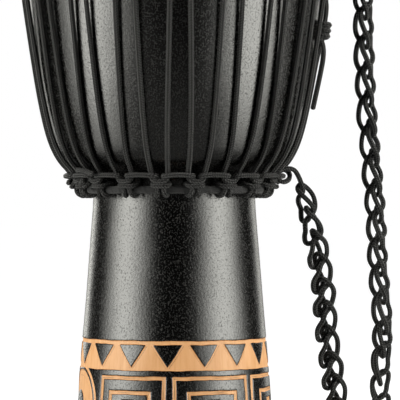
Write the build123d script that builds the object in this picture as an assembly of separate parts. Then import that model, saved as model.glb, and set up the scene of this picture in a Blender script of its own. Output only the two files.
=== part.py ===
"""Rope-tuned wooden djembe: a goblet shell, a goatskin head on steel rings, and the ropes that pull it down.

Millimetres, +Z up. The origin is the centre of the foot's flat end, so the drum stands on z = 0.
Angles go round the drum from -Y (the front) towards +X. Each sub-part is written to parts/NODE.step.
"""

from build123d import *
import os
from math import cos, radians, sin, tan

# ---- driving dimensions ------------------------------------------------------------------------------------------
DRUM_HEIGHT = 610.0  # wood only; the skin adds its own thickness
RIM_RADIUS = 152.5  # a 12 inch (305 mm) head
WAIST_RADIUS = 81.0
WAIST_Z = 292.0
FOOT_RADIUS = 107.0
CARVING_DEPTH = 0.8

ROPE_DIAMETER = 5.0  # the long rope that pulls the head down
CRADLE_ROPE_DIAMETER = 4.8  # the knotted rope on each ring
KNOT_COUNT = 18
KNOT_PITCH = 360.0 / KNOT_COUNT
FIRST_LOWER_KNOT = -7.5  # degrees
FIRST_UPPER_KNOT = FIRST_LOWER_KNOT + KNOT_PITCH / 2

SKIN_THICKNESS = 0.9
SKIN_GAP = 0.5  # between the skin's side and the shell
FLAP_TOP = 592.0  # where the lapped skin is cut off
GAP = 0.15  # between pieces that lie on each other
WRAP_GAP = 0.05

# Each ring: radius of its centre circle, height, bar radius, radius with its cloth wrap.
LOWER_RING = {"radius": 91.5, "z": 300.0, "bar": 3.0, "wrapped": 4.0}
CROWN_RING = {"radius": 166.0, "z": 583.5, "bar": 3.5, "wrapped": 4.5}
FLESH_RING = {"radius": 157.4, "z": 572.0, "bar": 3.0}

# ---- shell profile, (radius, z) ----------------------------------------------------------------------------------
OUTSIDE = [
    (FOOT_RADIUS, 0.0),
    (101.0, 40.0),
    (96.2, 100.0),
    (88.6, 190.0),
    (82.3, 270.0),
    (WAIST_RADIUS, WAIST_Z),
    (82.6, 304.0),
    (89.0, 312.5),
    (111.5, 330.0),
    (121.5, 350.0),
    (131.5, 390.0),
    (139.5, 440.0),
    (145.5, 490.0),
    (150.5, 550.0),
    (RIM_RADIUS, 602.0),
]
EDGE_ROUND = 8.0  # the bearing edge that the skin turns over
BELT_MIDDLE = 90.4  # the carved belt is the same above and below this height
UPPER_BORDERS = [(149.2, 153.0), (124.2, 127.5)]  # low and high edge of each stripe above the middle
INSIDE = [
    (RIM_RADIUS - 13.0, DRUM_HEIGHT - 6.0),
    (137.0, 540.0),
    (131.0, 480.0),
    (121.0, 420.0),
    (106.0, 360.0),
    (86.0, 322.0),
    (69.0, 300.0),
    (65.0, 280.0),
    (71.0, 190.0),
    (79.0, 90.0),
    (90.0, 0.0),
]

# ---- rope routes, (angle from the knot, radius, z) ---------------------------------------------------------------
# One strand of the long rope, from the middle of its turn over an upper knot to the middle of its turn under a
# lower one. It stands clear of the shell from the crown, then lies on the bowl.
HALF_STRAND = [
    (-10.0, 169.8, 570.0),
    (-6.6, 169.4, 570.0),
    (-6.6, 160.3, 563.6),
    (-6.2, 151.0, 490.0),
    (-5.9, 143.4, 440.0),
    (-5.5, 135.2, 390.0),
    (-5.1, 126.2, 351.0),
    (-4.75, 116.2, 330.0),
    (-4.6, 102.4, 317.0),
    (-4.6, 104.2, 307.2),
]
# Half of a bar of the knotted rope, from inside its knot to the last point before the middle.
LOWER_BAR = [(1.5, 95.5, 308.5), (1.5, 107.6, 317.0), (5.4, 110.0, 314.8)]
UPPER_BAR = [(1.05, 164.1, 575.0), (1.05, 163.5, 560.6), (3.9, 165.6, 558.6)]
KNOT_HALF_WIDTH = 8.0
RUN_SHARE = 0.45  # how much of a run an arc at its end may take

# The spare end of the long rope, wound into a chain that hangs beside the drum: x, z at y = 0.
CHAIN_WIDTH = 22.0
CHAIN_ROUTE = [
    (124.0, 318.0),
    (130.5, 296.0),
    (138.5, 270.0),
    (145.5, 240.0),
    (150.0, 202.0),
    (153.0, 162.0),
    (158.5, 122.0),
    (164.0, 88.0),
    (167.5, 60.0),
    (178.0, 48.5),
    (193.0, 49.5),
    (202.0, 61.0),
    (202.5, 88.0),
    (204.0, 121.0),
    (208.5, 158.0),
    (206.5, 190.0),
    (203.5, 222.0),
    (202.5, 260.0),
    (200.0, 302.0),
    (196.5, 340.0),
    (192.5, 380.0),
    (190.5, 425.0),
    (188.5, 468.0),
    (188.0, 508.0),
    (189.5, 545.0),
]

# The knotted end of the long rope, wrapped round one strand at the drum's right side.
TAIL_KNOT_ANGLE = 86.5
TAIL_KNOT_Z = (445.0, 470.0)
TAIL_KNOT_RADIUS = 7.2
TAIL_KNOT_BORE = 2.95  # clears the strand, which bends a little inside the knot
TAIL_ROUTE = [(88.2, 151.8, 452.0), (88.8, 149.8, 436.0), (89.6, 144.8, 410.0), (89.0, 138.6, 382.0)]


# ---- helpers -----------------------------------------------------------------------------------------------------
def polar(angle, radius, z):
    """A point at that angle round the drum."""
    turn = radians(angle)
    return Vector(radius * sin(turn), -radius * cos(turn), z)


def half_section(edges):
    """A closed face in the plane of the drum's section, from edges drawn as (radius, z)."""
    return Plane.XZ * make_face(edges)


def turned(face, angle=360.0):
    return revolve(face, Axis.Z, angle)


def route_radii(points, name):
    """The arc radius at each inner point: as large as the two runs allow."""
    radii = []
    for before, here, after in zip(points, points[1:], points[2:]):
        turn = (here - before).get_angle(after - here)
        run = min((here - before).length, (after - here).length)
        radii.append(RUN_SHARE * run / tan(radians(turn / 2)))
    print(name, "radii", [round(r, 1) for r in radii])
    return radii


def tube(points, diameter, name):
    """A round tube along straight runs joined by tangent arcs."""
    path = FilletPolyline(*points, radius=route_radii(points, name))
    section = Plane(origin=path @ 0, z_dir=path % 0) * Circle(diameter / 2)
    solid = sweep(section, path=path)
    expected = path.length * section.area
    print(name, "length", round(path.length, 1), "volume ratio", round(solid.volume / expected, 4))
    return solid


def ring_tube(ring, radius, hollow=0.0):
    """A ring of round section round the drum."""
    face = Pos(ring["radius"], ring["z"]) * Circle(radius)
    if hollow:
        face -= Pos(ring["radius"], ring["z"]) * Circle(hollow)
    return turned(Plane.XZ * face)


def around(solid, first_angle):
    """One copy of solid at each knot, the first turned to first_angle."""
    return [Rot(0, 0, first_angle + KNOT_PITCH * k) * solid for k in range(KNOT_COUNT)]


def joined(solids):
    """The solids fused into one."""
    return solids[0].fuse(*solids[1:])


def write(name, shape):
    export_step(shape, f"parts/{name}.step")
    print("wrote", name)


# ---- sub-parts ---------------------------------------------------------------------------------------------------
def wood_shell():
    """The carved goblet: bowl and stem in one piece, hollow right through, with the borders of its carved belt."""
    edge_top = (RIM_RADIUS - EDGE_ROUND, DRUM_HEIGHT)
    outline = [
        Spline(*OUTSIDE),
        RadiusArc(OUTSIDE[-1], edge_top, -EDGE_ROUND),
        Line(edge_top, INSIDE[0]),
        Spline(*INSIDE),
        Line(INSIDE[-1], OUTSIDE[0]),
    ]
    shell = turned(half_section(outline))
    for z_low, z_high in UPPER_BORDERS:
        shell -= belt_groove(z_low, z_high)
        shell -= belt_groove(2 * BELT_MIDDLE - z_high, 2 * BELT_MIDDLE - z_low)
    return shell


def radius_at(route, z):
    """The radius at height z on a list of (radius, z) points, by straight lines between them."""
    for (r_a, z_a), (r_b, z_b) in zip(route, route[1:]):
        if min(z_a, z_b) <= z <= max(z_a, z_b):
            return r_a + (r_b - r_a) * (z - z_a) / (z_b - z_a)
    raise ValueError("that height isn't on the route")


def belt_groove(z_low, z_high):
    middle = (z_low + z_high) / 2
    inner = radius_at(OUTSIDE, middle) - CARVING_DEPTH
    ring = Cylinder(FOOT_RADIUS + 5, z_high - z_low) - Cylinder(inner, z_high - z_low + 1)
    return Pos(0, 0, middle) * ring


def drum_skin():
    """The goatskin: over the bearing edge, down the shell, round the flesh ring and up again to its cut edge."""
    corner = EDGE_ROUND + SKIN_GAP
    low = DRUM_HEIGHT + GAP
    high = low + SKIN_THICKNESS
    inner = RIM_RADIUS + SKIN_GAP
    outer = inner + SKIN_THICKNESS
    side_top = low - corner
    membrane = make_face(
        [
            Line((0, low), (inner - corner, low)),
            RadiusArc((inner - corner, low), (inner, side_top), corner),
            Line((inner, side_top), (inner, FLESH_RING["z"])),
            Line((inner, FLESH_RING["z"]), (outer, FLESH_RING["z"])),
            Line((outer, FLESH_RING["z"]), (outer, side_top)),
            RadiusArc((outer, side_top), (inner - corner, high), -(corner + SKIN_THICKNESS)),
            Line((inner - corner, high), (0, high)),
            Line((0, high), (0, low)),
        ]
    )
    centre = Pos(FLESH_RING["radius"], FLESH_RING["z"])
    hole = FLESH_RING["bar"] + GAP
    flap_height = FLAP_TOP - FLESH_RING["z"]
    flap_middle = Pos(outer + SKIN_THICKNESS / 2, FLESH_RING["z"] + flap_height / 2)
    flap = flap_middle * Rectangle(SKIN_THICKNESS, flap_height)
    lap = centre * Circle(hole + SKIN_THICKNESS)
    section = membrane + flap + lap - centre * Circle(hole)
    return turned(Plane.XZ * section)


def tension_rope():
    """The long rope: strands between the two knotted rings, turning round a knot at each end.

    It is written as one length for each lower knot, and they meet face to face in the middle of the upper turns.
    """
    down = [polar(*p) for p in HALF_STRAND]
    up = [polar(-a, r, z) for a, r, z in reversed(HALF_STRAND)]
    bay = tube(down + up, ROPE_DIAMETER, "tension_rope bay")
    return Compound(children=around(bay, FIRST_LOWER_KNOT))


def cradle_rope(ring, bar_points, first_knot, name):
    """The rope knotted round a ring, with a bar from each knot to the next."""
    other_side = [(KNOT_PITCH - a, r, z) for a, r, z in reversed(bar_points)]
    bar = tube([polar(*p) for p in bar_points + other_side], CRADLE_ROPE_DIAMETER, name + " bar")
    half_angle = KNOT_HALF_WIDTH / radians(1) / ring["radius"]
    inner = ring["wrapped"] + GAP
    face = Pos(ring["radius"], ring["z"]) * (Circle(ring["wrapped"] + 5.0) - Circle(inner))
    # Plane.XZ holds the section at +X, which is 90 degrees round from the front.
    knot = Rot(0, 0, -90.0) * turned(Plane.XZ * face, half_angle)
    next_knot = Rot(0, 0, KNOT_PITCH - half_angle) * knot
    cell = knot + (bar - ring_tube(ring, inner)) + next_knot
    return joined(around(cell, first_knot))


def tail_knot(shell_envelope):
    """The knotted end of the long rope: three turns round a strand, and the end lying down over the ropes."""
    strand = [(r, z) for _, r, z in HALF_STRAND]
    low, high = (polar(TAIL_KNOT_ANGLE, radius_at(strand, z), z) for z in TAIL_KNOT_Z)
    axis = Plane(origin=low, z_dir=high - low)
    length = (high - low).length
    wraps = axis * extrude(Circle(TAIL_KNOT_RADIUS), length)
    below = Plane(origin=low - (high - low), z_dir=high - low)
    strand_hole = below * extrude(Circle(TAIL_KNOT_BORE), 3 * length)
    end = tube([polar(*p) for p in TAIL_ROUTE], ROPE_DIAMETER, "tail")
    return wraps + end - strand_hole - shell_envelope


def shell_envelope():
    """The shell's outside with a little air round it, for pieces that lie against it."""
    air = 0.4
    side = [(r + air, z) for r, z in OUTSIDE]
    low, high = side[0], side[-1]
    outline = [
        Spline(*side),
        Line(high, (0, high[1])),
        Line((0, high[1]), (0, low[1])),
        Line((0, low[1]), low),
    ]
    return turned(half_section(outline))


def spare_rope_chain():
    points = [Vector(x, 0, z) for x, z in CHAIN_ROUTE]
    return tube(points, CHAIN_WIDTH, "spare_rope_chain")


def main():
    os.makedirs("parts", exist_ok=True)
    write("wood_shell", wood_shell())
    write("drum_skin", drum_skin())
    write("flesh_ring", ring_tube(FLESH_RING, FLESH_RING["bar"]))
    write("crown_ring", ring_tube(CROWN_RING, CROWN_RING["bar"]))
    write("crown_ring_wrap", ring_tube(CROWN_RING, CROWN_RING["wrapped"], CROWN_RING["bar"] + WRAP_GAP))
    write("lower_ring", ring_tube(LOWER_RING, LOWER_RING["bar"]))
    write("lower_ring_wrap", ring_tube(LOWER_RING, LOWER_RING["wrapped"], LOWER_RING["bar"] + WRAP_GAP))
    write("upper_cradle_rope", cradle_rope(CROWN_RING, UPPER_BAR, FIRST_UPPER_KNOT, "upper"))
    write("lower_cradle_rope", cradle_rope(LOWER_RING, LOWER_BAR, FIRST_LOWER_KNOT, "lower"))
    write("tension_rope", tension_rope())
    write("rope_tail_knot", tail_knot(shell_envelope()))
    write("spare_rope_chain", spare_rope_chain())


main()
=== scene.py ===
import math

import bpy
import numpy as np
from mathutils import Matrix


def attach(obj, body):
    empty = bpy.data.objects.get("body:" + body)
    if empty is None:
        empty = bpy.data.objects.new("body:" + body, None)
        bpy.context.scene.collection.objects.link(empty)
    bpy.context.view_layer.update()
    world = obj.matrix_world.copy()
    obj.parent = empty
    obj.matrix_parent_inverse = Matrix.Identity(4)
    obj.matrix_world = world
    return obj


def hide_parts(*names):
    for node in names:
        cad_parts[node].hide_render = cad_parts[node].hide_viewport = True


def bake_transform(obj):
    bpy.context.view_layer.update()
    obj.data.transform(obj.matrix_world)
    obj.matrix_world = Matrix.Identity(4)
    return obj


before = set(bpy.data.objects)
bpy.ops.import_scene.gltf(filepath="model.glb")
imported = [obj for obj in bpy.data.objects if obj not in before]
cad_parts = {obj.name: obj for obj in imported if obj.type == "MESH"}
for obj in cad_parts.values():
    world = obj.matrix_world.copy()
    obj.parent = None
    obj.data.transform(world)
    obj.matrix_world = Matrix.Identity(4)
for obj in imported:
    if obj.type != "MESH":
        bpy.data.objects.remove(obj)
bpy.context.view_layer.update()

# A rope-tuned djembe, +Z up, the foot on z = 0. Angles go round the drum from -Y, the front, towards +X.
# Shapes are written in millimetres and turned into metres by MM where a mesh is made. CHAIN_ROUTE, the line
# that the chain follows, the camera and the lights are in metres.
MM = 0.001
rng = np.random.default_rng(7)

# ---- driving dimensions, in millimetres ----------------------------------------------------------
RIM_RADIUS = 152.5
DRUM_HEIGHT = 610.0
EDGE_ROUND = 8.0
EDGE_START = DRUM_HEIGHT - EDGE_ROUND
FOOT_RADIUS = 107.0

OUTSIDE = [
    (FOOT_RADIUS, 0.0), (101.0, 40.0), (96.2, 100.0), (88.6, 190.0), (82.3, 270.0), (81.0, 292.0),
    (82.6, 304.0), (89.0, 312.5), (111.5, 330.0), (121.5, 350.0), (131.5, 390.0), (139.5, 440.0),
    (145.5, 490.0), (150.5, 550.0), (RIM_RADIUS, EDGE_START),
]
INSIDE = [
    (RIM_RADIUS - 13.0, DRUM_HEIGHT - 6.0), (137.0, 540.0), (131.0, 480.0), (121.0, 420.0), (106.0, 360.0),
    (86.0, 322.0), (69.0, 300.0), (65.0, 280.0), (71.0, 190.0), (79.0, 90.0), (90.0, 0.0),
]

ROPE = 5.0
CRADLE_ROPE = 4.8
KNOTS = 18
PITCH = 360.0 / KNOTS
FIRST_LOWER_KNOT = -7.5
FIRST_UPPER_KNOT = FIRST_LOWER_KNOT + PITCH / 2


# ---- mesh helpers --------------------------------------------------------------------------------
def polar(angle, radius, z):
    """A point, or points, at that angle round the drum."""
    turn = np.radians(angle)
    return np.stack([radius * np.sin(turn), -radius * np.cos(turn), z + 0 * turn], axis=-1)


def through(points, step):
    """A smooth line through points, as a natural cubic spline by chord length, sampled about every step."""
    p = np.array(points, float)
    run = np.linalg.norm(np.diff(p, axis=0), axis=1)
    at = np.concatenate([[0], np.cumsum(run)])
    n = len(p)
    a, b = np.eye(n), np.zeros((n, p.shape[1]))
    for i in range(1, n - 1):
        a[i, i - 1:i + 2] = run[i - 1], 2 * (run[i - 1] + run[i]), run[i]
        b[i] = 6 * ((p[i + 1] - p[i]) / run[i] - (p[i] - p[i - 1]) / run[i - 1])
    bend = np.linalg.solve(a, b)
    s = np.linspace(0, at[-1], max(2, int(round(at[-1] / step)) + 1))
    i = np.clip(np.searchsorted(at, s, side="right") - 1, 0, n - 2)
    h, left, right = run[i][:, None], (s - at[i])[:, None], (at[i + 1] - s)[:, None]
    return (
        (bend[i] * right ** 3 + bend[i + 1] * left ** 3) / (6 * h)
        + (p[i] / h - bend[i] * h / 6) * right
        + (p[i + 1] / h - bend[i + 1] * h / 6) * left
    )


def evenly(line, step, closed=False):
    """The line again with points about every step along it."""
    if closed:
        line = np.concatenate([line, line[:1]])
    at = np.concatenate([[0], np.cumsum(np.linalg.norm(np.diff(line, axis=0), axis=1))])
    count = max(2, int(round(at[-1] / step)))
    s = np.linspace(0, at[-1], count + 1)
    even = np.stack([np.interp(s, at, line[:, k]) for k in range(3)], axis=1)
    return even[:-1] if closed else even


def nurbs_line(points, closed=False, resolution=10):
    """The points that a NURBS spline with these control points follows."""
    curve = bpy.data.curves.new("route", "CURVE")
    curve.dimensions = "3D"
    curve.resolution_u = resolution
    spline = curve.splines.new("NURBS")
    spline.points.add(len(points) - 1)
    spline.points.foreach_set("co", np.column_stack([points, np.ones(len(points))]).ravel())
    spline.order_u = 3
    spline.use_endpoint_u = not closed
    spline.use_cyclic_u = closed
    holder = bpy.data.objects.new("route", curve)
    bpy.context.scene.collection.objects.link(holder)
    dg = bpy.context.evaluated_depsgraph_get()
    mesh = bpy.data.meshes.new_from_object(holder.evaluated_get(dg), depsgraph=dg)
    line = np.empty(len(mesh.vertices) * 3)
    mesh.vertices.foreach_get("co", line)
    bpy.data.objects.remove(holder)
    bpy.data.curves.remove(curve)
    bpy.data.meshes.remove(mesh)
    return line.reshape(-1, 3)


class Builder:
    """Collects points, faces and UVs of one mesh."""

    def __init__(self):
        self.points, self.faces, self.uvs, self.slots, self.count = [], [], [], [], 0

    def add_points(self, points):
        self.points.append(np.asarray(points, float).reshape(-1, 3))
        first = self.count
        self.count += len(self.points[-1])
        return np.arange(first, self.count)

    def strip(self, low, high, v_low, v_high, slot=0):
        """Quads between two closed rings of the same number of points."""
        n = len(low)
        i = np.arange(n)
        j = (i + 1) % n
        self.faces.extend(np.stack([low[i], low[j], high[j], high[i]], axis=1).tolist())
        u0, u1 = i / n, (i + 1) / n
        uv = np.stack(
            [u0, 0 * u0 + v_low, u1, 0 * u0 + v_low, u1, 0 * u0 + v_high, u0, 0 * u0 + v_high], axis=1)
        self.uvs.append(uv.reshape(-1, 2))
        self.slots.extend([slot] * len(i))

    def widen(self, coarse, fine, v, fine_above):
        """Triangles from a ring to one with a whole number of times as many points, at nearly its height."""
        times = len(fine) // len(coarse)
        for i in range(len(coarse)):
            a, b = coarse[i], coarse[(i + 1) % len(coarse)]
            edge = [fine[(i * times + k) % len(fine)] for k in range(times + 1)]
            fans = [(a, edge[k + 1], edge[k]) for k in range(times // 2 + 1)]
            fans.append((a, b, edge[times // 2 + 1]))
            fans += [(b, edge[k + 1], edge[k]) for k in range(times // 2 + 1, times)]
            for fan in fans:
                self.faces.append(list(fan if fine_above else fan[::-1]))
                self.uvs.append(np.full((3, 2), (i / len(coarse), v)))
                self.slots.append(0)

    def make(self, name, materials):
        mesh = bpy.data.meshes.new(name)
        mesh.from_pydata(np.concatenate(self.points).tolist(), [], self.faces)
        layer = mesh.uv_layers.new(name="UVMap")
        layer.data.foreach_set("uv", np.concatenate(self.uvs).ravel())
        mesh.polygons.foreach_set("material_index", self.slots)
        mesh.polygons.foreach_set("use_smooth", [True] * len(self.faces))
        for m in materials:
            mesh.materials.append(m)
        mesh.update()
        obj = bpy.data.objects.new(name, mesh)
        bpy.context.scene.collection.objects.link(obj)
        return obj


def unit(v):
    return v / np.maximum(np.linalg.norm(v, axis=-1, keepdims=True), 1e-12)


def frames(line, closed, first_normal):
    """Tangents and normals along a line, turning as little as they can; a closed line's normals meet up."""
    ahead = np.roll(line, -1, 0) - line if closed else np.diff(line, axis=0, append=line[-1:])
    back = line - np.roll(line, 1, 0) if closed else np.diff(line, axis=0, prepend=line[:1])
    tangent = unit(ahead + back)
    normal = np.empty_like(line)
    normal[0] = unit(first_normal - tangent[0] * np.dot(first_normal, tangent[0]))
    for i in range(len(line) - 1):
        step = line[i + 1] - line[i]
        c = step @ step
        n = normal[i] - 2 / c * (step @ normal[i]) * step
        t = tangent[i] - 2 / c * (step @ tangent[i]) * step
        turn = tangent[i + 1] - t
        d = turn @ turn
        normal[i + 1] = n if d < 1e-18 else n - 2 / d * (turn @ n) * turn
    return tangent, normal


SETTLE_REACH = 20  # how many points each way a closed rope's normals are averaged over


def settle(tangent, normal, outward):
    """Turns a closed line's normals smoothly so that they lean towards outward, and meet at its seam."""
    side = np.cross(tangent, normal)
    want = outward - tangent * np.sum(outward * tangent, axis=1)[:, None]
    weight = np.linalg.norm(want, axis=1)
    angle = np.unwrap(np.arctan2(np.sum(want * side, 1), np.sum(want * normal, 1)))
    kernel = np.hanning(2 * SETTLE_REACH + 1)

    def spread(values):
        over_the_seam = np.concatenate([values[-SETTLE_REACH:], values, values[:SETTLE_REACH]])
        return np.convolve(over_the_seam, kernel, "valid")

    angle = spread(weight * angle) / np.maximum(spread(weight), 1e-6)
    return unit(normal * np.cos(angle)[:, None] + side * np.sin(angle)[:, None])


AROUND = 12
LOBES = 6
LOBE_DEPTH, LOBE_INSET = 0.055, 0.02
# An open rope's rounded end: each ring's share of the radius, and how many diameters out it lies.
END_ROUND = [(0.92, 0.14), (0.7, 0.28), (0.35, 0.36), (0.0, 0.38)]


def rope_tube(builder, line, diameter, closed):
    """A braided rope's surface along the line: a tube with shallow lobes, and rounded ends if it is open."""
    tangent, normal = frames(line, closed, np.array([0.0, -1.0, 0.2]))
    if closed:
        normal = settle(tangent, normal, unit(line * [1, 1, 0]))
    side = np.cross(tangent, normal)
    turn = 2 * np.pi * np.arange(AROUND) / AROUND
    shape = 1 - LOBE_DEPTH * np.cos(LOBES * turn) - LOBE_INSET
    along = np.concatenate([[0], np.cumsum(np.linalg.norm(np.diff(line, axis=0), axis=1))]) / diameter
    rings = []
    for i in range(len(line)):
        ring = line[i] + diameter / 2 * (
            (shape * np.cos(turn))[:, None] * normal[i] + (shape * np.sin(turn))[:, None] * side[i])
        rings.append(builder.add_points(ring))
    for i in range(len(line) - 1):
        builder.strip(rings[i], rings[i + 1], along[i], along[i + 1])
    if closed:
        builder.strip(rings[-1], rings[0], along[-1], along[-1] + along[1])
        return
    for end, sign in ((0, -1), (-1, 1)):
        last, v = rings[end], along[end]
        for size, out in END_ROUND:
            ring = line[end] + sign * tangent[end] * out * diameter + size * diameter / 2 * (
                np.cos(turn)[:, None] * normal[end] + np.sin(turn)[:, None] * side[end])
            new = builder.add_points(ring)
            pair = (last, new) if sign > 0 else (new, last)
            builder.strip(*pair, v, v + sign * 0.1)
            last, v = new, v + sign * 0.1


# ---- material helpers ----------------------------------------------------------------------------
class Tree:
    """A material's nodes, added and linked by short calls."""

    def __init__(self, name):
        self.material = bpy.data.materials.new(name)
        self.material.use_nodes = True
        self.nodes = self.material.node_tree.nodes
        self.links = self.material.node_tree.links
        self.shader = self.nodes["Principled BSDF"]

    def add(self, kind, inputs=None, **settings):
        node = self.nodes.new("ShaderNode" + kind)
        for key, value in settings.items():
            setattr(node, key, value)
        for key, value in (inputs or {}).items():
            if isinstance(value, bpy.types.NodeSocket):
                self.links.new(value, node.inputs[key])
            else:
                node.inputs[key].default_value = value
        return node

    def coords(self, which="Object"):
        return self.add("TexCoord").outputs[which]

    def scaled(self, vector, scale):
        return self.add("Mapping", {"Vector": vector, "Scale": scale}).outputs["Vector"]

    def noise(self, vector, scale, detail, rough):
        inputs = {"Vector": vector, "Scale": scale, "Detail": detail, "Roughness": rough}
        return self.add("TexNoise", inputs).outputs["Fac"]

    def math(self, operation, a, b=0.0, c=0.0):
        return self.add("Math", {0: a, 1: b, 2: c}, operation=operation).outputs[0]

    def ramp(self, value, low, high, out_low=0.0, out_high=1.0):
        inputs = {"Value": value, "From Min": low, "From Max": high, "To Min": out_low, "To Max": out_high}
        return self.add("MapRange", inputs).outputs["Result"]

    def mix(self, factor, a, b):
        node = self.add("Mix", data_type="RGBA")
        for index, value in ((0, factor), (6, a), (7, b)):
            if isinstance(value, bpy.types.NodeSocket):
                self.links.new(value, node.inputs[index])
            else:
                node.inputs[index].default_value = value
        return node.outputs[2]

    def bump(self, height, distance, strength):
        inputs = {"Height": height, "Distance": distance, "Strength": strength}
        return self.add("Bump", inputs).outputs["Normal"]

    def set(self, **sockets):
        """Sets or links the shader's own sockets, with _ for each space in their names."""
        for key, value in sockets.items():
            socket = self.shader.inputs[key.replace("_", " ")]
            if isinstance(value, bpy.types.NodeSocket):
                self.links.new(value, socket)
            else:
                socket.default_value = value


def rgb(r, g, b):
    """A colour given as it looks on screen, 0 to 255, as linear light."""
    def linear(c):
        c /= 255
        return c / 12.92 if c <= 0.04045 else ((c + 0.055) / 1.055) ** 2.4
    return (linear(r), linear(g), linear(b), 1.0)


# ---- materials -----------------------------------------------------------------------------------
def lacquer_nodes(t, where):
    """Black satin lacquer with the fine peel of a sprayed coat: its colour, with pale specks of painted
    glint, its roughness and bump height.
    """
    peel = t.noise(t.scaled(where, (470, 470, 420)), 1.0, 3.0, 0.7)
    speck = t.noise(t.scaled(where, (640, 640, 560)), 1.0, 2.0, 0.6)
    grain = t.noise(t.scaled(where, (420, 420, 60)), 1.0, 3.0, 0.6)
    broad = t.noise(t.scaled(where, (9, 9, 5)), 1.0, 3.0, 0.5)
    colour = t.mix(t.ramp(broad, 0.3, 0.7), (0.0002, 0.0002, 0.00015, 1), (0.0007, 0.0006, 0.0005, 1))
    # Painted glints: pale specks mixed into the black, standing in for the small reflections of the peel in
    # the dark parts.
    colour = t.mix(t.ramp(speck, 0.60, 0.74), colour, (0.012, 0.011, 0.009, 1))
    rough = t.math("ADD", t.ramp(broad, 0.3, 0.7, 0.20, 0.23), t.ramp(speck, 0.53, 0.68, 0.0, 0.32))
    height = t.math("ADD", t.math("MULTIPLY", peel, 0.8), t.math("MULTIPLY", grain, 0.2))
    return colour, rough, height


def bare_wood_nodes(t, where, light, dark):
    """Bare wood with its grain up the drum: its colour and bump height."""
    grain = t.noise(t.scaled(where, (260, 260, 16)), 1.0, 5.0, 0.65)
    figure = t.noise(t.scaled(where, (30, 30, 5)), 1.0, 3.0, 0.5)
    colour = t.mix(t.ramp(grain, 0.35, 0.68), light, dark)
    colour = t.mix(t.ramp(figure, 0.35, 0.7, 0.0, 0.5), colour, dark)
    return colour, grain


def shell_material():
    """The outside: lacquer, and bare carved wood where the belt's pattern is cut."""
    t = Tree("lacquered_carved_wood")
    where = t.coords()
    black, black_rough, black_height = lacquer_nodes(t, where)
    tan, grain = bare_wood_nodes(t, where, rgb(191, 147, 104), rgb(174, 125, 77))
    distance = t.add("Attribute", attribute_name="carve").outputs["Fac"]
    incised = t.add("Attribute", attribute_name="incise").outputs["Fac"]
    tan_mask = t.ramp(distance, 0.08, -0.12)
    edge = t.math("MULTIPLY", t.ramp(distance, -0.75, -0.15), 0.5)
    tan = t.mix(edge, tan, rgb(170, 106, 52))
    line = t.ramp(incised, 0.32, 0.12)
    tan = t.mix(t.math("MULTIPLY", line, 0.85), tan, rgb(62, 36, 16))
    colour = t.mix(tan_mask, black, tan)
    rough = t.add("Mix", {0: tan_mask, 2: black_rough, 3: 0.62}).outputs[0]
    height = t.add("Mix", {0: tan_mask, 2: black_height, 3: grain}).outputs[0]
    t.set(Base_Color=colour, Roughness=rough, Normal=t.bump(height, 0.00036, 0.8), Specular_IOR_Level=0.5)
    return t.material


def inside_material():
    """The raw inside: hewn wood, darker than the carving."""
    t = Tree("raw_inside_wood")
    where = t.coords()
    colour, grain = bare_wood_nodes(t, where, rgb(178, 132, 88), rgb(128, 86, 52))
    t.set(Base_Color=colour, Roughness=0.78, Normal=t.bump(grain, 0.0006, 0.6))
    return t.material


ROPE_TINT = (0.0132, 0.0132, 0.0131)


def rope_tone(times):
    """The rope's colour, darker or paler, for painted shade and highlight and for fuzz."""
    return tuple(c * times for c in ROPE_TINT) + (1,)


def rope_material():
    """Dull black braid: a column of slanting ribs on each lobe, leaning left and right by turns, with painted
    highlights on the rib crests and painted shade in the grooves.
    """
    t = Tree("black_braided_rope")
    uv = t.add("SeparateXYZ", {"Vector": t.coords("UV")})
    u, v = uv.outputs["X"], uv.outputs["Y"]
    column = t.math("MULTIPLY", u, LOBES)
    across = t.math("FRACT", column)
    even = t.math("FRACT", t.math("MULTIPLY", t.math("FLOOR", column), 0.5))
    lean = t.ramp(even, 0.0, 0.5, -1.0, 1.0)
    ribs = t.math("MULTIPLY_ADD", v, 2.0, t.math("MULTIPLY", across, lean))
    rib = t.math("ABSOLUTE", t.math("SINE", t.math("MULTIPLY", ribs, math.pi)))
    rib = t.math("POWER", rib, 1.6)
    centre = t.math("ABSOLUTE", t.math("MULTIPLY_ADD", across, 2.0, -1.0))
    crown = t.math("SUBTRACT", 1.0, t.math("POWER", centre, 1.8))
    thread = t.noise(t.scaled(t.coords("UV"), (60, 14, 1)), 1.0, 2.0, 0.6)
    height = t.math("ADD", t.math("MULTIPLY", rib, crown), t.math("MULTIPLY", thread, 0.25))
    fuzz = t.noise(t.coords(), 420.0, 2.0, 0.6)
    # Painted highlight and shade: the colour follows the bump height, paler on the rib crests and lobe
    # middles, darker in the grooves between them.
    colour = t.mix(t.ramp(height, 0.3, 1.05), rope_tone(0.05), rope_tone(4.4))
    colour = t.mix(t.ramp(fuzz, 0.55, 0.75, 0.0, 0.5), colour, rope_tone(2.6))
    t.set(Base_Color=colour, Roughness=0.56, Normal=t.bump(height, 0.0011, 1.0))
    t.set(Specular_IOR_Level=0.15, Sheen_Weight=0.08, Sheen_Roughness=0.4)
    return t.material


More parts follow.
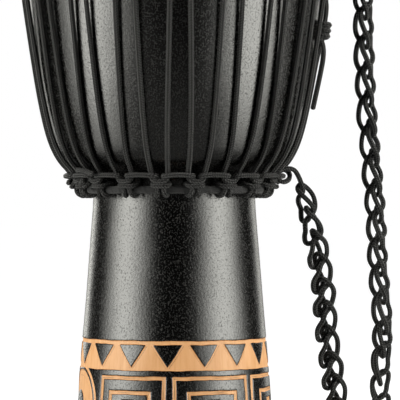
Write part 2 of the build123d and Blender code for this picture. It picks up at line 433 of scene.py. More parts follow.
def cloth_material():
    """The cotton strip wound round the rings."""
    t = Tree("ring_cloth")
    uv = t.coords("UV")
    warp = t.add("TexWave", {"Vector": t.scaled(uv, (40, 1, 1)), "Scale": 3.0, "Distortion": 0.6})
    weft_inputs = {"Vector": t.scaled(uv, (1, 900, 1)), "Scale": 1.0, "Distortion": 0.6}
    weft = t.add("TexWave", weft_inputs, bands_direction="Y")
    weave = t.math("MULTIPLY", warp.outputs["Fac"], weft.outputs["Fac"])
    shade = t.noise(t.coords(), 60.0, 3.0, 0.6)
    colour = t.mix(t.ramp(shade, 0.3, 0.7), rgb(6, 6, 7), rgb(15, 15, 16))
    colour = t.mix(t.math("MULTIPLY", weave, 0.3), colour, rgb(26, 25, 27))
    t.set(Base_Color=colour, Roughness=0.9, Normal=t.bump(weave, 0.0003, 0.5), Sheen_Weight=0.1)
    return t.material


def steel_material():
    """Black painted steel rod, rubbed to bare metal here and there."""
    t = Tree("painted_steel_ring")
    where = t.coords()
    rub = t.noise(where, 70.0, 5.0, 0.7)
    bare = t.ramp(rub, 0.62, 0.72)
    colour = t.mix(bare, (0.02, 0.02, 0.021, 1), (0.35, 0.34, 0.33, 1))
    rough = t.ramp(rub, 0.3, 0.7, 0.5, 0.32)
    t.set(Base_Color=colour, Metallic=bare, Roughness=rough, Normal=t.bump(rub, 0.0002, 0.4))
    return t.material


def skin_material():
    """Shaved goatskin: cream, cloudy, with the darker line of the back and faint veins."""
    t = Tree("goatskin")
    where = t.coords()
    cloud = t.noise(where, 11.0, 5.0, 0.6)
    mottled = t.noise(where, 55.0, 4.0, 0.6)
    hair = t.noise(t.scaled(where, (420, 420, 420)), 1.0, 2.0, 0.6)
    position = t.add("SeparateXYZ", {"Vector": where})
    spine = t.math("ABSOLUTE", t.math("ADD", position.outputs["X"], t.math("MULTIPLY", cloud, 0.03)))
    stripe = t.ramp(spine, 0.0, 0.045, 0.55, 0.0)
    colour = t.mix(t.ramp(cloud, 0.3, 0.72), rgb(232, 214, 182), rgb(206, 180, 140))
    colour = t.mix(stripe, colour, rgb(150, 118, 84))
    colour = t.mix(t.ramp(mottled, 0.5, 0.75, 0.0, 0.35), colour, rgb(182, 148, 108))
    colour = t.mix(t.ramp(hair, 0.66, 0.74, 0.0, 0.6), colour, rgb(110, 84, 60))
    height = t.math("ADD", t.math("MULTIPLY", mottled, 0.7), t.math("MULTIPLY", hair, 0.3))
    rough = t.ramp(cloud, 0.3, 0.7, 0.5, 0.66)
    t.set(Base_Color=colour, Roughness=rough, Normal=t.bump(height, 0.0005, 0.4))
    t.set(Subsurface_Weight=0.15, Subsurface_Radius=(0.004, 0.002, 0.001))
    return t.material


# ---- the carved belt -----------------------------------------------------------------------------
# Heights and lengths are millimetres on the unrolled surface; angles are degrees round the drum.
BELT_RADIUS = 97.0
BELT_LOW, BELT_HIGH = 24.0, 157.0
BELT_MIDDLE = 90.4
STRIPE_TOP = 153.0
TRIANGLE_TOP = 149.2
TRIANGLE_POINT = 127.5
STRIPE_LOW = 124.2
TRIANGLES = 16
FIRST_TRIANGLE = -3.5
TRIANGLE_HALF = 9.0
LINE_HALF = 1.8
BOX_TOP, BOX_BOTTOM = 116.8, 64.0
INNER_TOP, INNER_BOTTOM = 102.6, 78.2
# Each square spiral: the middles of its outer left, outer right, inner left and inner right lines.
SPIRALS = [
    (-47.2, -5.7, -40.3, -14.5), (0.5, 47.8, 9.1, 39.0), (53.4, 98.3, 62.7, 89.5),
    (155.5, 200.5, 163.5, 191.5), (206.5, 254.5, 214.5, 245.5),
]
MEDALLIONS = [-75.3, 127.0]
MEDALLION_RINGS = [(38.5, 35.0), (32.4, 12.0)]
MEDALLION_CUTS = (31.2, 26.4)
# The heart of a square spiral: how far left of its middle and above the belt's, and how long.
HEART_LEFT, HEART_RISE, HEART_LENGTH = 5.0, 3.0, 9.0
CUT_SHIFT = 0.4
FAR_AWAY = 99.0


def arc(degrees):
    """Degrees round the drum as millimetres on the unrolled belt."""
    return np.radians(degrees) * BELT_RADIUS


def bar_distance(s, z, s_low, s_high, z_low, z_high):
    """Signed distance to an upright rectangle, negative inside."""
    ds = np.abs(s - (s_low + s_high) / 2) - (s_high - s_low) / 2
    dz = np.abs(z - (z_low + z_high) / 2) - (z_high - z_low) / 2
    outside = np.hypot(np.maximum(ds, 0), np.maximum(dz, 0))
    return outside + np.minimum(np.maximum(ds, dz), 0)


def near(degrees, middle):
    """Degrees turned to lie within half a turn of middle."""
    return (degrees - middle + 180) % 360 - 180


def triangle_border(degrees, z):
    """The border of triangles: distance to its bare wood, and to the lines cut beside the triangles."""
    pitch = 360 / TRIANGLES
    s = arc((degrees - FIRST_TRIANGLE + pitch / 2) % pitch - pitch / 2)
    half, tall = arc(TRIANGLE_HALF), TRIANGLE_TOP - TRIANGLE_POINT
    slant = math.hypot(half, tall)
    side = (np.abs(s) * tall - (z - TRIANGLE_POINT) * half) / slant
    black = np.maximum(side, z - TRIANGLE_TOP)
    band = np.maximum(z - STRIPE_TOP, STRIPE_LOW - z)
    carved = np.maximum(band, -black)
    beside = np.abs(side - 1.9)
    inside = np.maximum(np.maximum(z - TRIANGLE_TOP + 0.8, TRIANGLE_POINT - 1.0 - z), 0)
    return carved, np.hypot(beside, inside)


def spiral(degrees, z, outer_left, outer_right, inner_left, inner_right):
    """A square spiral of carved lines: distance to them, and to the fine line cut along each."""
    middle = (outer_left + outer_right) / 2
    s = arc(near(degrees, middle))
    left, right = arc(outer_left - middle), arc(outer_right - middle)
    in_left, in_right = arc(inner_left - middle), arc(inner_right - middle)
    heart, heart_z = (in_left + in_right) / 2 - HEART_LEFT, BELT_MIDDLE + HEART_RISE
    corners = [
        (left, BOX_BOTTOM), (left, BOX_TOP), (right, BOX_TOP), (right, BOX_BOTTOM), (in_left, BOX_BOTTOM),
        (in_left, INNER_TOP), (in_right, INNER_TOP), (in_right, INNER_BOTTOM), (heart, INNER_BOTTOM),
        (heart, heart_z), (heart + HEART_LENGTH, heart_z),
    ]
    carved, cut = np.full(s.shape, FAR_AWAY), np.full(s.shape, FAR_AWAY)
    for (s_a, z_a), (s_b, z_b) in zip(corners, corners[1:]):
        s_low, s_high, z_low, z_high = min(s_a, s_b), max(s_a, s_b), min(z_a, z_b), max(z_a, z_b)
        line = bar_distance(
            s, z, s_low - LINE_HALF, s_high + LINE_HALF, z_low - LINE_HALF, z_high + LINE_HALF)
        carved = np.minimum(carved, line)
        fine = bar_distance(
            s, z, s_low - CUT_SHIFT, s_high - CUT_SHIFT, z_low - CUT_SHIFT, z_high - CUT_SHIFT)
        cut = np.minimum(cut, fine)
    return carved, cut


def medallion(degrees, z, middle):
    """A round medallion of rings."""
    s = arc(near(degrees, middle))
    radius = np.hypot(s, z - BELT_MIDDLE)
    carved = np.full(s.shape, FAR_AWAY)
    for high, low in MEDALLION_RINGS:
        carved = np.minimum(carved, np.maximum(radius - high, low - radius))
    cut = np.minimum(*(np.abs(radius - line) for line in MEDALLION_CUTS))
    return carved, cut


def belt_pattern(degrees, z):
    """Distance to the belt's carved wood, negative inside it, and to its fine cut lines."""
    carved, cut = triangle_border(degrees, z)
    low = triangle_border(degrees + 360 / TRIANGLES / 2, 2 * BELT_MIDDLE - z)
    carved, cut = np.minimum(carved, low[0]), np.minimum(cut, low[1])
    for box in SPIRALS:
        found = spiral(degrees, z, *box)
        carved, cut = np.minimum(carved, found[0]), np.minimum(cut, found[1])
    for middle in MEDALLIONS:
        found = medallion(degrees, z, middle)
        carved, cut = np.minimum(carved, found[0]), np.minimum(cut, found[1])
    return carved, cut


# ---- wooden shell --------------------------------------------------------------------------------
COARSE, FINE = 300, 900
BELT_STEP = 0.7
CARVING_DEPTH, CUT_DEPTH = 0.8, 0.35
UNCARVED = 9.0
EDGE_RINGS = 8
BLACK_EDGE_RINGS = 3  # the lacquer stops at this ring of the bearing edge
FOOT_BEVEL_IN, FOOT_BEVEL_OUT = 1.2, 1.6
# What is added to v inside, and the v of the strip that closes the foot, so that neither meets the outside's.
INSIDE_V, FOOT_V = 700, 1400


def unevenness(degrees, z):
    """How far the hand-turned surface stands off its round shape, in millimetres."""
    a = np.radians(degrees)
    return (
        0.10 * np.sin(3 * a + z / 47) + 0.07 * np.sin(5 * a - z / 31 + 1.1)
        + 0.05 * np.sin(9 * a + z / 18 + 2.0) + 0.03 * np.sin(14 * a - z / 11)
    )


def hewn(degrees, z):
    """The adze marks inside."""
    a = np.radians(degrees)
    shift = 0.5 * np.sin(z / 13.0)
    return 0.55 * np.abs(np.sin(11 * a + shift)) * np.abs(np.sin(z / 9.5 + 0.4 * np.sin(7 * a)))


def shell_piece():
    """The wooden goblet, hollow right through, with the belt's carving cut into it."""
    outer = through(OUTSIDE, 3.5)
    columns = 360 * np.arange(COARSE) / COARSE
    fine_columns = 360 * np.arange(FINE) / FINE
    b = Builder()
    carve, incise = [], []

    def ring(degrees, radius, z, field=None):
        found = b.add_points(polar(degrees, radius, z) * MM)
        n = len(found)
        carve.append(np.full(n, UNCARVED) if field is None else field[0])
        incise.append(np.full(n, UNCARVED) if field is None else field[1])
        return found

    # The foot's end, then the outside below the belt.
    foot_inner = ring(columns, INSIDE[-1][0] + FOOT_BEVEL_IN, 0.0)
    last = ring(columns, FOOT_RADIUS - FOOT_BEVEL_OUT, 0.0)
    b.strip(foot_inner, last, 0, 1)
    for r, z in outer[(outer[:, 1] > 0.9) & (outer[:, 1] < BELT_LOW)]:
        now = ring(columns, r + unevenness(columns, z), z)
        b.strip(last, now, z, z + 1)
        last = now
    # The belt, on its finer grid.
    heights = np.linspace(BELT_LOW, BELT_HIGH, int((BELT_HIGH - BELT_LOW) / BELT_STEP) + 1)
    radii = np.interp(heights, outer[:, 1], outer[:, 0])
    grid_a, grid_z = np.meshgrid(fine_columns, heights)
    round_a = np.radians(grid_a)
    hand_z = 0.2 * np.sin(round_a * 13 + grid_z / 9) + 0.08 * np.sin(grid_z / 5 + round_a * 31)
    hand_a = 0.12 * np.sin(grid_z / 6 + round_a * 17)
    carved, cut = belt_pattern(grid_a + hand_a, grid_z + hand_z)
    depth = CARVING_DEPTH * np.clip(0.5 - carved / 0.9, 0, 1)
    depth = depth + CUT_DEPTH * np.clip(1 - cut / 0.55, 0, 1) * (carved < 0.2)
    for i, z in enumerate(heights):
        radius = radii[i] + unevenness(fine_columns, z) - depth[i]
        now = ring(fine_columns, radius, z, (carved[i], cut[i]))
        if i == 0:
            b.widen(last, now, z, fine_above=True)
        else:
            b.strip(last, now, z, z + 1)
        last = now
    # The stem and bowl above it.
    above = outer[outer[:, 1] > BELT_HIGH + 0.5]
    for i, (r, z) in enumerate(above):
        now = ring(columns, r + unevenness(columns, z) * min(1.0, (DRUM_HEIGHT - z) / 40), z)
        if i == 0:
            b.widen(now, last, z, fine_above=False)
        else:
            b.strip(last, now, z, z + 1)
        last = now
    # The bearing edge, then down the inside.
    corner = RIM_RADIUS - EDGE_ROUND
    for k in range(1, EDGE_RINGS + 1):
        turn = math.radians(90 * k / EDGE_RINGS)
        now = ring(columns, corner + EDGE_ROUND * math.cos(turn), EDGE_START + EDGE_ROUND * math.sin(turn))
        b.strip(last, now, EDGE_START + k, EDGE_START + k + 1, slot=0 if k < BLACK_EDGE_RINGS else 1)
        last = now
    for r, z in through(INSIDE, 6.0):
        fade = min(1.0, (DRUM_HEIGHT - 6 - z) / 30, (z + 0.1) / 20)
        now = ring(columns, r - hewn(columns, z) * max(fade, 0), z)
        b.strip(last, now, z + INSIDE_V, z + INSIDE_V + 1, slot=1)
        last = now
    b.strip(last, foot_inner, FOOT_V, FOOT_V + 1, slot=1)
    shell = b.make("carved_shell", [shell_material(), inside_material()])
    for name, values in (("carve", carve), ("incise", incise)):
        layer = shell.data.attributes.new(name, "FLOAT", "POINT")
        layer.data.foreach_set("value", np.concatenate(values).astype(np.float32))
    return shell


# ---- rings and their cloth -----------------------------------------------------------------------
LOWER_RING = {"radius": 91.5, "z": 300.0, "wrapped": 4.0}
CROWN_RING = {"radius": 166.0, "z": 583.5, "wrapped": 4.5}
STRIP_WIDTH = 9.0


def wrap_piece(name, ring, cloth):
    """A cloth strip wound round a ring, each turn lapping the one before it."""
    b = Builder()
    count, around = 720, 20
    turns = round(2 * math.pi * ring["radius"] / STRIP_WIDTH)
    section = np.linspace(0, 2 * np.pi, around, endpoint=False)
    rings = []
    for i in range(count):
        angle = 360 * i / count
        lap = (turns * i / count + section / (2 * np.pi)) % 1.0
        crease = 0.08 * np.sin(7 * section + 37 * lap) + 0.05 * np.sin(3 * section + i * 0.9)
        radius = ring["wrapped"] - 0.45 + 0.55 * lap ** 2 + crease
        points = polar(angle, ring["radius"] + radius * np.cos(section), ring["z"] + radius * np.sin(section))
        rings.append(b.add_points(points * MM))
    for i in range(count):
        b.strip(rings[(i + 1) % count], rings[i], (i + 1) / count, i / count)
    return b.make(name, [cloth])


# ---- knotted ropes -------------------------------------------------------------------------------
# A knot's route is written round its ring: across the knot, then along the pull and outward from it, from
# the ring's centre. Each cradle has its own directions for those two, as (radial, up).
LOWER_CRADLE = {"ring": LOWER_RING, "pull": (0.77, 0.64), "out": (0.64, -0.77), "first": FIRST_LOWER_KNOT}
UPPER_CRADLE = {"ring": CROWN_RING, "pull": (-0.05, -1.0), "out": (1.0, -0.05), "first": FIRST_UPPER_KNOT}
# Left half of a cow hitch, from the bar to the collar's middle.
HALF_KNOT = [
    (-11.5, 22.6, 0.5), (-7.6, 22.2, 0.7), (-4.2, 20.4, -0.6), (-2.7, 16.0, -3.0), (-2.5, 10.6, -2.4),
    (-2.3, 7.2, 1.0), (-2.7, 4.6, 4.4), (-3.7, 0.0, 6.2), (-5.0, -4.5, 4.4), (-6.0, -6.3, 0.0),
    (-7.0, -4.5, -4.5), (-7.5, 0.0, -6.3), (-7.8, 4.6, -4.5), (-7.8, 7.4, -0.3), (-7.2, 8.9, 2.6),
    (-4.4, 10.4, 4.2),
]
COLLAR_MIDDLE = (0.0, 10.9, 4.6)
BAR_MIDDLE = (22.8, 0.4)  # along the pull and outward
HITCH_REACH = 12.0  # points nearer the ring's centre than this lie on the ring, and move out with its size


def from_ring(cradle, along, outward):
    """The radius and height that far along the cradle's pull and outward, from its ring's centre."""
    ring, pull, out = cradle["ring"], cradle["pull"], cradle["out"]
    return (
        ring["radius"] + along * pull[0] + outward * out[0],
        ring["z"] + along * pull[1] + outward * out[1],
    )


def cradle_line(cradle):
    """The knotted rope's whole closed line."""
    grow = cradle["ring"]["wrapped"] - LOWER_RING["wrapped"]
    half = HALF_KNOT + [COLLAR_MIDDLE] + [(-u, p, q) for u, p, q in reversed(HALF_KNOT)]
    points = []
    for k in range(KNOTS):
        centre = cradle["first"] + PITCH * k
        tilt, lift = rng.normal(0, 0.25, 2)
        for u, p, q in half:
            reach = math.hypot(p, q)
            stretch = 1 + grow / (reach if reach < HITCH_REACH else 2 * HITCH_REACH)
            p, q = p * stretch, q * stretch
            radial, z = from_ring(cradle, p, q)
            side = u + tilt * 0.6 + 0.02 * p * tilt
            points.append(polar(centre + math.degrees(side / radial), radial, z + 0.02 * p * lift))
        points.append(polar(centre + PITCH / 2, *from_ring(cradle, *BAR_MIDDLE)))
    return nurbs_line(np.array(points), closed=True, resolution=6)


def cradle_piece(name, cradle, rope):
    """A rope knotted all round its ring."""
    b = Builder()
    rope_tube(b, evenly(cradle_line(cradle), 1.1, closed=True) * MM, CRADLE_ROPE * MM, True)
    return b.make(name, [rope])


# ---- the long rope -------------------------------------------------------------------------------
# Half of one strand, from the middle of its turn over an upper knot to the one under a lower knot:
# angle from the lower knot, radius, height.
HALF_STRAND = [
    (-10.0, 169.0, 569.6), (-7.4, 168.6, 568.8), (-6.5, 162.8, 565.2), (-6.55, 159.6, 556.0),
    (-6.2, 151.0, 490.0), (-5.9, 143.4, 440.0), (-5.5, 135.2, 390.0), (-5.1, 126.2, 351.0),
    (-4.75, 116.2, 330.0), (-4.6, 105.6, 319.0), (-4.5, 102.4, 312.6), (-3.2, 103.6, 308.6),
]
LOWER_TURN = (104.0, 307.8)
STRAND_SPREAD = 6.0
STRAND_FOOT, STRAND_RISE = 318.0, 242.0
# The strand that the rope's end is knotted to stands off the shell, round the turns behind it: there, these
# points take the place of the sixth of HALF_STRAND.
TAIL_ANGLE = 86.5
TAIL_PLACE = 5
TAIL_STRAND = [(-6.1, 152.6, 482.0), (-6.05, 149.8, 462.0), (-6.0, 147.4, 446.0), (-5.9, 142.6, 432.0)]


def tension_line():
    """The long rope's closed line: down a strand, under a lower knot, up the next, over an upper knot."""
    points = []
    for k in range(KNOTS):
        knot = FIRST_LOWER_KNOT + PITCH * k
        for side in (-1, 1):
            lean = rng.normal(0, 0.28, 2)
            strand = list(HALF_STRAND)
            if abs(knot + side * STRAND_SPREAD - TAIL_ANGLE) < 1.0:
                strand[TAIL_PLACE:TAIL_PLACE + 1] = TAIL_STRAND
                lean = np.zeros(2)
            placed = []
            for a, r, z in strand:
                up = (z - STRAND_FOOT) / STRAND_RISE
                free = math.sin(math.pi * np.clip(up, 0, 1))
                drift = free * (lean[0] + lean[1] * math.cos(math.pi * up))
                placed.append(polar(knot - side * a + drift, r, z))
            points += placed if side < 0 else placed[::-1][:-1]
            if side < 0:
                points.append(polar(knot, *LOWER_TURN))
    return nurbs_line(np.array(points), closed=True, resolution=10)


# The rope's first end lies over a knot. Two barrel knots fill the gaps between the lower ring and two bars of
# the knotted rope.
FIRST_END = [(-43.0, 115.6, 315.6), (-47.5, 114.8, 318.2), (-52.5, 114.4, 319.4), (-56.0, 113.4, 319.6)]
BARREL_BARS = [-57.5, -77.5]
BARREL_LOW, BARREL_PITCH, BARREL_TURNS = 7.3, 5.0, 2
BARREL_RADIUS = 5.2
BARREL_STRAND = [(0.0, 17.8, 0.0), (0.0, 12.6, 0.0), (0.4, 7.6, 0.2)]
TURN_POINTS = 8


def barrel_line(bar):
    """A strand from the bar to the ring, and the turns wound back up round it."""
    route = list(BARREL_STRAND)
    for k in range(1, BARREL_TURNS * TURN_POINTS + 2):
        turn = 2 * math.pi * k / TURN_POINTS
        p = BARREL_LOW + BARREL_PITCH * (k - 1) / TURN_POINTS
        route.append((BARREL_RADIUS * math.sin(turn), p, BARREL_RADIUS * math.cos(turn)))
    points = []
    for u, p, q in route:
        radial, z = from_ring(LOWER_CRADLE, p, q)
        points.append(polar(bar + math.degrees(u / radial), radial, z))
    return points


def tension_piece(rope):
    """The laced rope with its first end and the barrel knots."""
    b = Builder()
    rope_tube(b, evenly(tension_line(), 1.3, closed=True) * MM, ROPE * MM, True)
    rope_tube(b, evenly(nurbs_line(np.array([polar(*p) for p in FIRST_END])), 1.2) * MM, ROPE * MM, False)
    for bar in BARREL_BARS:
        rope_tube(b, evenly(nurbs_line(np.array(barrel_line(bar))), 1.0) * MM, ROPE * MM, False)
    return b.make("tension_rope_laced", [rope])


# ---- the rope's knotted end ----------------------------------------------------------------------
TAIL_ROUTE = [(88.8, 149.8, 436.0), (89.6, 144.8, 410.0), (89.0, 138.6, 382.0)]
TAIL_TURNS = 3
TAIL_KNOT_LOW, TAIL_KNOT_HIGH = 449.0, 467.0
TURN_RADIUS = 5.4


def tail_piece(rope):
    """Three turns round a strand, and the rope's end lying down from them."""
    strand = np.array([(r, z) for _, r, z in TAIL_STRAND])[::-1]
    side = np.array(OUTSIDE)
    points = []
    last = TAIL_TURNS * TURN_POINTS + 2
    for k in range(last + 1):
        turn = 2 * math.pi * k / TURN_POINTS
        z = TAIL_KNOT_HIGH - (TAIL_KNOT_HIGH - TAIL_KNOT_LOW) * k / last
        radius = np.interp(z, strand[:, 1], strand[:, 0]) - TURN_RADIUS * math.cos(turn)
        radius = max(radius, np.interp(z, side[:, 1], side[:, 0]) + ROPE / 2 + 0.2)
        across = -TURN_RADIUS * math.sin(turn)
        points.append(polar(TAIL_ANGLE + math.degrees(across / radius), radius, z))
    points += [polar(*p) for p in TAIL_ROUTE]
    b = Builder()
    rope_tube(b, evenly(nurbs_line(np.array(points)), 1.2) * MM, ROPE * MM, False)
    return b.make("rope_end_knot", [rope])


# ---- the spare rope's chain ----------------------------------------------------------------------
# The chain's line in metres, as (x, z) from the lower ring down, round the bottom and up to the crown ring.
CHAIN_ROUTE = [
    (0.124, 0.318), (0.1305, 0.296), (0.1385, 0.270), (0.1455, 0.240), (0.150, 0.202), (0.153, 0.162),
    (0.1585, 0.122), (0.164, 0.088), (0.1675, 0.060), (0.178, 0.0485), (0.193, 0.0495), (0.202, 0.061),
    (0.2025, 0.088), (0.204, 0.121), (0.2085, 0.158), (0.2065, 0.190), (0.2035, 0.222), (0.2025, 0.260),
    (0.200, 0.302), (0.1965, 0.340), (0.1925, 0.380), (0.1905, 0.425), (0.1885, 0.468), (0.188, 0.508),
    (0.1895, 0.545),
]
# One stitch: across the chain, out of its face, and along it in stitches.
LEG = [
    (2.8, -2.5, 0.0), (3.0, 2.8, 0.1), (4.6, 6.0, 0.36), (9.4, 4.2, 0.8), (8.8, -0.5, 1.12),
    (4.6, -2.6, 1.34),
]
HEAD = (0.0, -2.8, 1.4)
BACK = [
    (-4.4, -4.4, -0.16), (-5.4, -11.2, -0.12), (-5.8, -10.8, 0.24), (-3.2, -9.2, 0.42), (1.8, -9.0, 0.64),
    (3.0, -7.2, 0.88),
]
WIDEST_PART = 6.0  # what lies further across than this is the loop itself, and its width varies
LINK_TOP, LINK_BOTTOM = 29.5, 24.0
WIDE_TOP, WIDE_BOTTOM = 1.08, 0.9
CHANGE_OVER = [0.45, 0.6]  # where along the chain its stitches change from the top's to the bottom's
UNEVEN = 0.05  # the spread of the stitches' lengths and widths
FIRST_STITCH, LAST_SPACE = 4.0, 22.0  # where stitches start, and how near the end none starts
# How far the chain's face is turned from the front, in degrees, against how far along it is.
CHAIN_ROLL = [
    (0.0, 75.0), (0.25, 50.0), (0.5, 68.0), (0.6, 110.0), (0.72, 140.0), (0.88, 145.0), (1.0, 25.0),
]
# The rope's two ends: a hitch over the crown ring, and into the knots of the lower ring.
CROWN_END = [
    (174.0, -9.5, 563.0), (174.5, -8.0, 576.0), (173.6, -6.5, 584.0), (166.5, -5.5, 591.5),
    (159.2, -3.5, 585.0), (165.0, -1.5, 575.6), (173.4, 0.5, 581.0), (169.5, 2.0, 591.0),
    (160.6, 3.5, 589.0), (161.5, 4.5, 578.5), (170.0, 4.5, 574.5), (182.0, 2.5, 567.0),
    (188.5, 0.5, 556.0),
]
LOWER_END = [
    (122.5, -8.5, 317.5), (117.5, -10.6, 321.4), (110.5, -12.0, 321.4), (104.4, -12.5, 318.9),
    (102.6, -12.4, 313.4), (104.9, -11.4, 308.9), (109.6, -9.6, 307.7), (114.2, -6.8, 309.9),
    (115.8, -2.6, 314.4), (113.8, 1.2, 319.0), (109.2, 3.6, 320.9), (104.6, 4.4, 318.4),
]


def chain_line():
    """The rope's own line through all its stitches, worked from the crown ring to the lower ring."""
    route = np.array([(x, 0.0, z) for x, z in CHAIN_ROUTE[::-1]]) / MM
    line = evenly(nurbs_line(route), 1.0)
    tangent, _ = frames(line, False, np.array([0.0, -1.0, 0.0]))
    length = len(line) - 1.0

    def place(across, out, along):
        i = int(np.clip(round(along), 0, length))
        beyond = along - np.clip(along, 0, length)
        roll = math.radians(np.interp(i / length, *np.array(CHAIN_ROLL).T))
        front = np.array([0.0, -1.0, 0.0])
        flat = np.cross(tangent[i], front)
        normal = front * math.cos(roll) + flat * math.sin(roll)
        side = np.cross(normal, tangent[i])
        return line[i] + beyond * tangent[i] + across * side + out * normal

    points, at = [np.array(p) for p in CROWN_END], FIRST_STITCH
    while at < length - LAST_SPACE:
        link = np.interp(at / length, CHANGE_OVER, [LINK_TOP, LINK_BOTTOM]) * (1 + UNEVEN * rng.normal())
        wide = np.interp(at / length, CHANGE_OVER, [WIDE_TOP, WIDE_BOTTOM]) * (1 + UNEVEN * rng.normal())
        stitch = LEG + [HEAD] + [(-x, y, s) for x, y, s in LEG[::-1]] + BACK
        points += [place(x * (wide if abs(x) > WIDEST_PART else 1), y, at + s * link) for x, y, s in stitch]
        at += link
    points += [place(*p[:2], at + p[2] * LINK_TOP) for p in LEG[:2]]
    points += [np.array(p) for p in LOWER_END]
    return nurbs_line(np.array(points), resolution=8)


def chain_piece(rope):
    """The spare rope, chained: the piece, and its line in metres."""
    line = evenly(chain_line(), 1.3) * MM
    b = Builder()
    rope_tube(b, line, ROPE * MM, False)
    return b.make("chained_spare_rope", [rope]), line


# ---- the skin ------------------------------------------------------------------------------------
SKIN_LOW, SKIN_THICK = DRUM_HEIGHT + 0.15, 0.9
SKIN_SIDE = RIM_RADIUS + 0.5
FLESH_RING = {"radius": 157.4, "z": 572.0, "bar": 3.0}
FLAP_TOP = 592.0
SKIN_COLUMNS = 360


def skin_piece(skin):
    """The goatskin over the bearing edge, lapped round the flesh ring, with its cut edge standing up."""
    corner, high = EDGE_ROUND + 0.5, SKIN_LOW + SKIN_THICK

    def rounding(radius, first, last):
        """The round over the edge, from one angle to another."""
        return [
            (SKIN_SIDE - corner + radius * math.sin(t), SKIN_LOW - corner + radius * math.cos(t))
            for t in np.radians(np.linspace(first, last, 10))]

    round_outer, round_inner = rounding(corner + SKIN_THICK, 0, 90), rounding(corner, 90, 0)
    edge = SKIN_SIDE + SKIN_THICK
    lap = FLESH_RING["bar"] + 0.15 + SKIN_THICK
    bulge = [
        (FLESH_RING["radius"] + lap * math.cos(t), FLESH_RING["z"] + lap * math.sin(t))
        for t in np.radians(np.linspace(75, -160, 14))]
    flap = [
        (edge + 0.1, FLAP_TOP - 1.5), (edge + 0.15, FLAP_TOP), (edge + 0.85, FLAP_TOP),
        (edge + 1.0, FLAP_TOP - 1.5), (edge + 1.0, FLAP_TOP - 7.0), (edge + 0.9, FLAP_TOP - 12.0),
        (edge + 1.6, FLAP_TOP - 14.6)]
    top = [(r, high) for r in np.linspace(6, SKIN_SIDE - corner - 4, 26)]
    below = [(r, SKIN_LOW) for r in np.linspace(SKIN_SIDE - corner - 4, 6, 12)]
    profile = top + round_outer + flap + bulge + [(SKIN_SIDE, FLESH_RING["z"] + 2)] + round_inner + below
    columns = 360 * np.arange(SKIN_COLUMNS) / SKIN_COLUMNS
    turn = np.radians(columns)
    cut = 0.9 * np.sin(turn * 7) + 0.7 * np.sin(turn * 19 + 1) + rng.normal(0, 0.25, SKIN_COLUMNS)
    flap_first = len(top) + len(round_outer)
    b = Builder()
    rings = []
    for k, (r, z) in enumerate(profile):
        lift = cut if flap_first <= k < flap_first + 4 else 0.0 * columns
        rings.append(b.add_points(polar(columns, r, z + lift - np.maximum(lift, 0) * 0.5) * MM))
    for k in range(len(rings) - 1):
        b.strip(rings[k + 1], rings[k], k + 1, k)
    for end, z, flip in ((rings[0], high, False), (rings[-1], SKIN_LOW, True)):
        centre = b.add_points([(0, 0, z * MM)])[0]
        for i in range(SKIN_COLUMNS):
            fan = [end[i], end[(i + 1) % SKIN_COLUMNS], centre]
            b.faces.append(fan[::-1] if flip else fan)
            b.uvs.append(np.full((3, 2), 0.5))
            b.slots.append(0)
    return b.make("goatskin_head", [skin])


# ---- the stage -----------------------------------------------------------------------------------
FLOOR_SIDE = 30.0
SIDE_AZIMUTHS = (("left", -65), ("right", 65))
# Upright softboxes on each side, one behind the other: name, distance, width and power.
SIDE_LAYERS = (("narrow", 1.70, 0.8, 22), ("middle", 1.72, 1.5, 32), ("wide", 1.74, 2.2, 27))
SIDE_LEVEL = 0.92
# Softboxes lying face up on each side: their near edges, their common far edge, width, and power per metre.
LOW_NEAR_EDGES, LOW_FAR_EDGE = (0.42, 0.56, 0.70, 0.84), 1.6
LOW_WIDTH, LOW_POWER = 0.42, 1.85


def make_camera():
    """The camera, level with the drum's waist."""
    camera = bpy.data.cameras.new("camera")
    camera.sensor_width = 36
    camera.lens = 270
    camera.clip_end = 60
    holder = bpy.data.objects.new("camera", camera)
    holder.location = (0.0257, -3.0, 0.29)
    holder.rotation_euler = (math.radians(90), 0, 0)
    bpy.context.scene.collection.objects.link(holder)
    bpy.context.scene.camera = holder


def make_floor():
    """A pale floor, white to the camera and grey to the light."""
    floor_mesh = bpy.data.meshes.new("floor")
    corners = [(x * FLOOR_SIDE, y * FLOOR_SIDE, 0) for x, y in ((-1, -1), (1, -1), (1, 1), (-1, 1))]
    floor_mesh.from_pydata(corners, [], [(0, 1, 2, 3)])
    floor = bpy.data.objects.new("floor", floor_mesh)
    t = Tree("pale_floor")
    seen = t.add("LightPath").outputs["Is Camera Ray"]
    t.set(Base_Color=(0.22, 0.22, 0.22, 1), Roughness=0.9, Specular_IOR_Level=0.1)
    t.set(Emission_Color=(1, 1, 1, 1), Emission_Strength=seen)
    floor_mesh.materials.append(t.material)
    bpy.context.scene.collection.objects.link(floor)


def make_world():
    """A white surround for the camera that hardly lights the drum."""
    world = bpy.data.worlds.new("studio")
    world.use_nodes = True
    nodes, links = world.node_tree.nodes, world.node_tree.links
    background = nodes["Background"]
    path = nodes.new("ShaderNodeLightPath")
    level = nodes.new("ShaderNodeMapRange")
    level.inputs["To Min"].default_value = 0.012
    level.inputs["To Max"].default_value = 1.0
    links.new(path.outputs["Is Camera Ray"], level.inputs["Value"])
    links.new(level.outputs["Result"], background.inputs["Strength"])
    background.inputs["Color"].default_value = (1, 1, 1, 1)
    bpy.context.scene.world = world
    bpy.context.scene.view_settings.view_transform = "Standard"


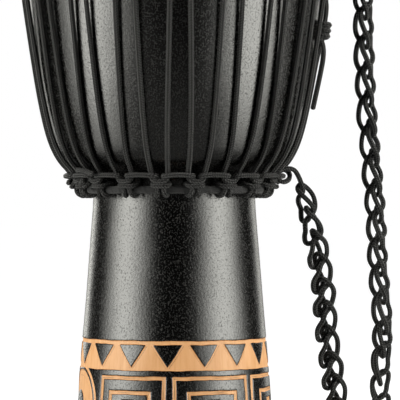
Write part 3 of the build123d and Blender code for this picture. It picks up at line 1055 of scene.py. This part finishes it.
def make_lights():
    """Softboxes upright at both sides, low ones lying there, two behind and one overhead."""
    for side_name, azimuth in SIDE_AZIMUTHS:
        for layer_name, distance, width, power in SIDE_LAYERS:
            softbox(f"{side_name}_{layer_name}", azimuth, distance, width, 1.5, power * SIDE_LEVEL)
        for k, near_edge in enumerate(LOW_NEAR_EDGES):
            deep = LOW_FAR_EDGE - near_edge
            softbox(
                f"{side_name}_low_{k + 1}", azimuth, near_edge + deep / 2, LOW_WIDTH, deep, LOW_POWER * deep,
                z=0.02 + 0.02 * k, tilt=180)
    softbox("back_left", -150, 2.2, 0.7, 1.6, 10)
    softbox("back_right", 150, 2.2, 0.7, 1.6, 7)
    overhead = bpy.data.lights.new("overhead", "AREA")
    overhead.size, overhead.energy = 1.4, 18
    holder = bpy.data.objects.new("overhead", overhead)
    holder.location = (0, 0, 2.6)
    holder.visible_camera = False
    bpy.context.scene.collection.objects.link(holder)


def softbox(name, azimuth, distance, width, height, power, z=0.45, tilt=90):
    """A softbox at that angle round the drum: upright and facing it, or at a tilt of 180 lying face up."""
    light = bpy.data.lights.new(name, "AREA")
    light.shape = "RECTANGLE"
    light.size, light.size_y, light.energy = width, height, power
    light.color = (1.0, 0.995, 0.93)
    holder = bpy.data.objects.new(name, light)
    x, y, _ = polar(azimuth, distance, 0.0)
    holder.location = (x, y, z)
    holder.rotation_euler = (math.radians(tilt), 0, math.radians(azimuth))
    holder.visible_camera = False
    bpy.context.scene.collection.objects.link(holder)


# ---- making --------------------------------------------------------------------------------------
make_camera()
make_floor()
make_world()
make_lights()

rope_black = rope_material()
cloth = cloth_material()
steel = steel_material()
skin = skin_material()

chain, chain_route = chain_piece(rope_black)
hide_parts("spare_rope_chain")
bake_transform(chain)

tail = tail_piece(rope_black)
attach(tail, "shell")
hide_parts("rope_tail_knot")

shell = shell_piece()
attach(shell, "shell")
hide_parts("wood_shell")

for wrap_name, ring, node, body in (
    ("lower_ring_cloth", LOWER_RING, "lower_ring_wrap", "shell"),
    ("crown_ring_cloth", CROWN_RING, "crown_ring_wrap", "head_rings"),
):
    wrap = wrap_piece(wrap_name, ring, cloth)
    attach(wrap, body)
    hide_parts(node)

for name, cradle, node, body in (
    ("lower_knotted_rope", LOWER_CRADLE, "lower_cradle_rope", "shell"),
    ("upper_knotted_rope", UPPER_CRADLE, "upper_cradle_rope", "head_rings"),
):
    piece = cradle_piece(name, cradle, rope_black)
    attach(piece, body)
    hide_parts(node)

laced = tension_piece(rope_black)
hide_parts("tension_rope")
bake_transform(laced)

head = skin_piece(skin)
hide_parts("drum_skin")
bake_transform(head)

for node in ("crown_ring", "lower_ring", "flesh_ring"):
    for slot in bpy.data.objects[node].material_slots:
        slot.material = steel
